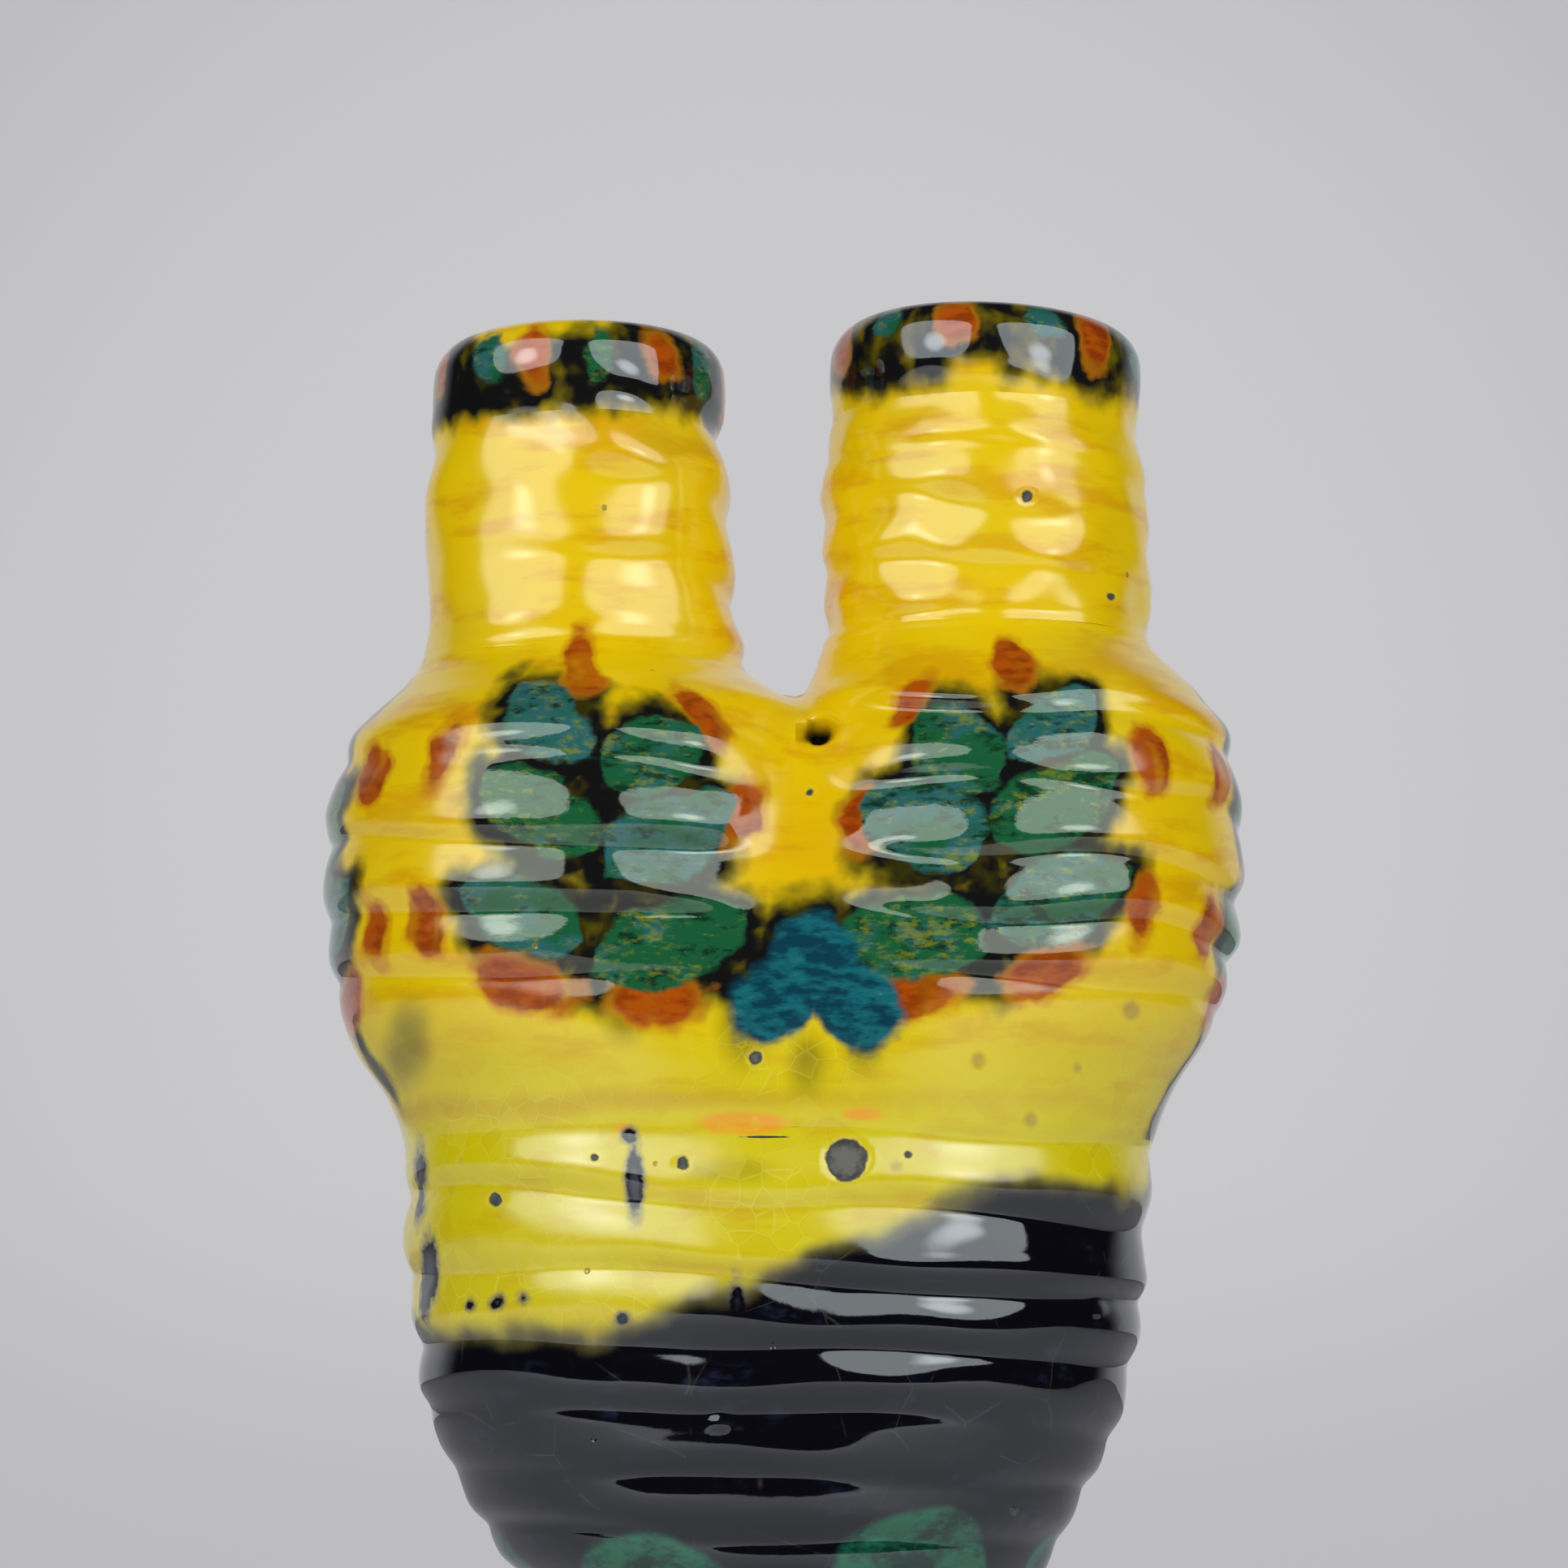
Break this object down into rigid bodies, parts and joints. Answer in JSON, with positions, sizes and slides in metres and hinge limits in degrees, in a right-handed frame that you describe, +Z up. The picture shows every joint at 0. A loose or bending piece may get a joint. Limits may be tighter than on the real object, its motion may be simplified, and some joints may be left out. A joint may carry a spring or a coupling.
{
  "type": "twin-necked ceramic vase",
  "caption": "Hand-thrown glazed vase with ribbed walls: an oval body on a foot ring opens into twin round shoulders, each with its own neck and rolled rim, for flowers.",
  "frame": {"origin": "middle of the foot ring, on the surface the vase stands on", "axes": "+Z up along the vase's height, +X from the left neck to the right neck, -Y to the front"},
  "size_m": [0.1318, 0.0805, 0.2001],
  "materials": {
    "yellow_glaze": "glossy, crazed, pooling to orange in the grooves",
    "black_glaze": "glossy blue-black",
    "rim_glaze": "glossy dark green with rust dabs",
    "bare_clay": "unglazed, trimmed and sponged"
  },
  "bodies": {
    "root": {"foot_ring": "bare_clay", "floor_disc": "black_glaze", "body_wall": "black_glaze", "left_shoulder": "yellow_glaze", "right_shoulder": "yellow_glaze", "left_neck": "yellow_glaze", "right_neck": "yellow_glaze", "left_rim": "rim_glaze", "right_rim": "rim_glaze"}
  },
  "joints": []
}
